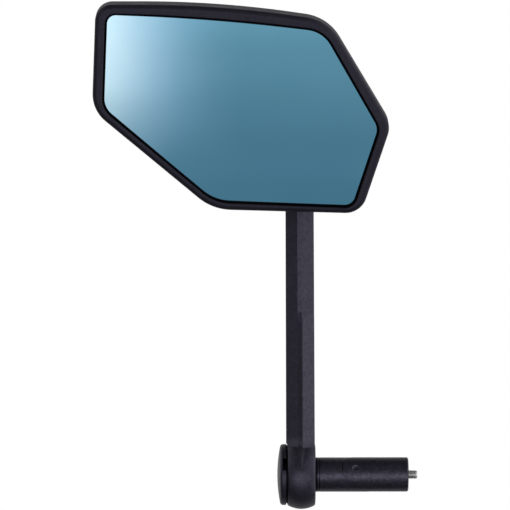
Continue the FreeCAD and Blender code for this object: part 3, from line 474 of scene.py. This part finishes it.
BACKDROP_FADE = (0.05, 0.5)   # how far back a direction points, from no backdrop to all of it
BACKDROP_BY_ELEVATION = [
    (-90, 0.3), (-40, 0.4), (0, 0.55), (38, 0.55), (50, 0.36), (65, 0.12), (90, 0.05),
]
PANEL_BY_ELEVATION = [
    (-90, 0.1), (-60, 0.13), (-45, 0.28), (-34, 0.53), (-28, 0.74), (-25, 0.81), (-22, 0.98),
    (-19.4, 1.22), (-15, 1.9), (-9, 2.35), (-2, 2.0), (5, 0.95), (14, 0.3), (27, 0.14), (45, 0.05),
    (90, 0.01),
]
PANEL_BY_AZIMUTH = [
    (-180, 0.0), (-100, 0.0), (-80, 0.02), (-60, 0.12), (-40, 0.36), (-20, 0.85), (-8, 1.0),
    (12, 0.95), (35, 0.5), (55, 0.2), (70, 0.1), (90, 0.0), (180, 0.0),
]
SIDE_BY_AZIMUTH = [
    (30, 0.0), (45, 0.08), (57, 0.35), (64, 2.1), (75, 2.7), (85, 1.6), (100, 0.7), (118, 0.0),
]
SIDE_BY_ELEVATION = [(-65, 0.0), (-35, 0.4), (-8, 0.8), (5, 0.8), (20, 0.3), (32, 0.0)]
UPPER_BY_AZIMUTH = [
    (-120, 0.0), (-95, 1.0), (-78, 1.2), (-62, 0.8), (-45, 0.15), (-25, 0.0), (4, 0.0), (22, 0.55),
    (45, 0.75), (60, 1.0), (80, 1.6), (100, 1.3), (120, 0.0),
]
UPPER_BY_ELEVATION = [(4, 0.0), (18, 0.8), (30, 1.0), (44, 0.85), (57, 0.4), (66, 0.1), (76, 0.0)]

LAMP_BY_AZIMUTH = [(-24, 0.0), (-17, 0.9), (-12, 1.15), (-8.5, 1.0), (0.5, 0.0)]
LAMP_BY_ELEVATION = [
    (-28, 0.0), (-26, 0.2), (-23, 0.75), (-20.5, 1.0), (-17.5, 0.97), (-14, 0.8), (-6, 0.0),
]
HALO_FALLOFF = 1.8            # power of the strength across the lamp: the higher, the narrower
HALO_COLOUR = (3.3, 1.84, 1.93)
CORE_FALLOFF = 4.5
CORE_COLOUR = (3.0, 0.9, 0.15)
GLOW_COLOUR = (2.4, 2.3, 2.4)
PALER_FADE = (-31, -13)       # elevations over which sharp reflections gain red and lose blue
PALER = (1.27, 1.06, 0.96)


def studio():
    """Studio light: a white backdrop, a dim room, three soft boxes and a lamp.

    The soft boxes are a panel in front, one at the side and one above. Sharp reflections, such
    as the mirror's, show the lamp as a warm core in a wider halo; blurred ones see a plain glow.
    """
    world = bpy.data.worlds.new("studio")
    bpy.context.scene.world = world
    w = Tree(world)
    ray = w.node("ShaderNodeTexCoord").outputs["Generated"]
    x, y, z = w.node("ShaderNodeSeparateXYZ", {0: ray}).outputs
    azimuth = w.math("DEGREES", w.math("ARCTAN2", x, w.times(y, -1.0)))
    elevation = w.math("DEGREES", w.math("ARCSINE", z))
    path = w.node("ShaderNodeLightPath")
    sharp = path.outputs["Is Singular Ray"]
    blurred = w.minus(path.outputs["Is Glossy Ray"], sharp)

    def softbox(by_azimuth, by_elevation):
        return w.times(w.curve(azimuth, by_azimuth), w.curve(elevation, by_elevation))

    backdrop = w.times(w.ramp(y, *BACKDROP_FADE), w.curve(elevation, BACKDROP_BY_ELEVATION))
    across = w.curve(azimuth, LAMP_BY_AZIMUTH)
    upright = w.curve(elevation, LAMP_BY_ELEVATION)
    halo = w.times(w.math("POWER", across, HALO_FALLOFF), upright)
    core = w.times(w.math("POWER", across, CORE_FALLOFF), upright)
    lights = [
        (softbox(PANEL_BY_AZIMUTH, PANEL_BY_ELEVATION), SOFTBOX_COLOUR),
        (softbox(SIDE_BY_AZIMUTH, SIDE_BY_ELEVATION), SOFTBOX_COLOUR),
        (softbox(UPPER_BY_AZIMUTH, UPPER_BY_ELEVATION), SOFTBOX_COLOUR),
        (backdrop, WHITE),
        (w.times(halo, sharp), HALO_COLOUR),
        (w.times(core, sharp), CORE_COLOUR),
        (w.times(halo, blurred), GLOW_COLOUR),
    ]
    total = ROOM_COLOUR
    for strength, colour in lights:
        total = w.vector("ADD", total, w.scale(colour, strength))
    paler = w.times(w.ramp(elevation, *PALER_FADE), sharp)
    total = w.mix(paler, total, w.vector("MULTIPLY", total, PALER))
    lit = w.node("ShaderNodeBackground", {"Color": total, "Strength": 1.0}).outputs[0]
    seen = w.node("ShaderNodeBackground", {"Color": rgba(WHITE), "Strength": 1.0}).outputs[0]
    both = w.node("ShaderNodeMixShader", {0: path.outputs["Is Camera Ray"], 1: lit, 2: seen})
    w.node("ShaderNodeOutputWorld", {"Surface": both.outputs[0]})


studio()

# ================================================================ camera
CAMERA_DISTANCE = 2.0
VIEW_WIDTH = 0.27507          # width of the picture at the part's own plane
FRAMING = Vector((-0.97 * MM, 0.0, 1.64 * MM))         # from the part's middle to the picture's


def camera():
    low, high = cad_box
    centre = (low + high) / 2 + FRAMING
    data = bpy.data.cameras.new("camera")
    data.lens = data.sensor_width * CAMERA_DISTANCE / VIEW_WIDTH
    data.clip_start = 0.05
    data.clip_end = 50.0
    made = bpy.data.objects.new("camera", data)
    made.location = (centre.x, -CAMERA_DISTANCE, centre.z)
    made.rotation_euler = (math.radians(90), 0, 0)
    bpy.context.scene.collection.objects.link(made)
    bpy.context.scene.camera = made


camera()
bpy.context.scene.view_settings.view_transform = "Standard"
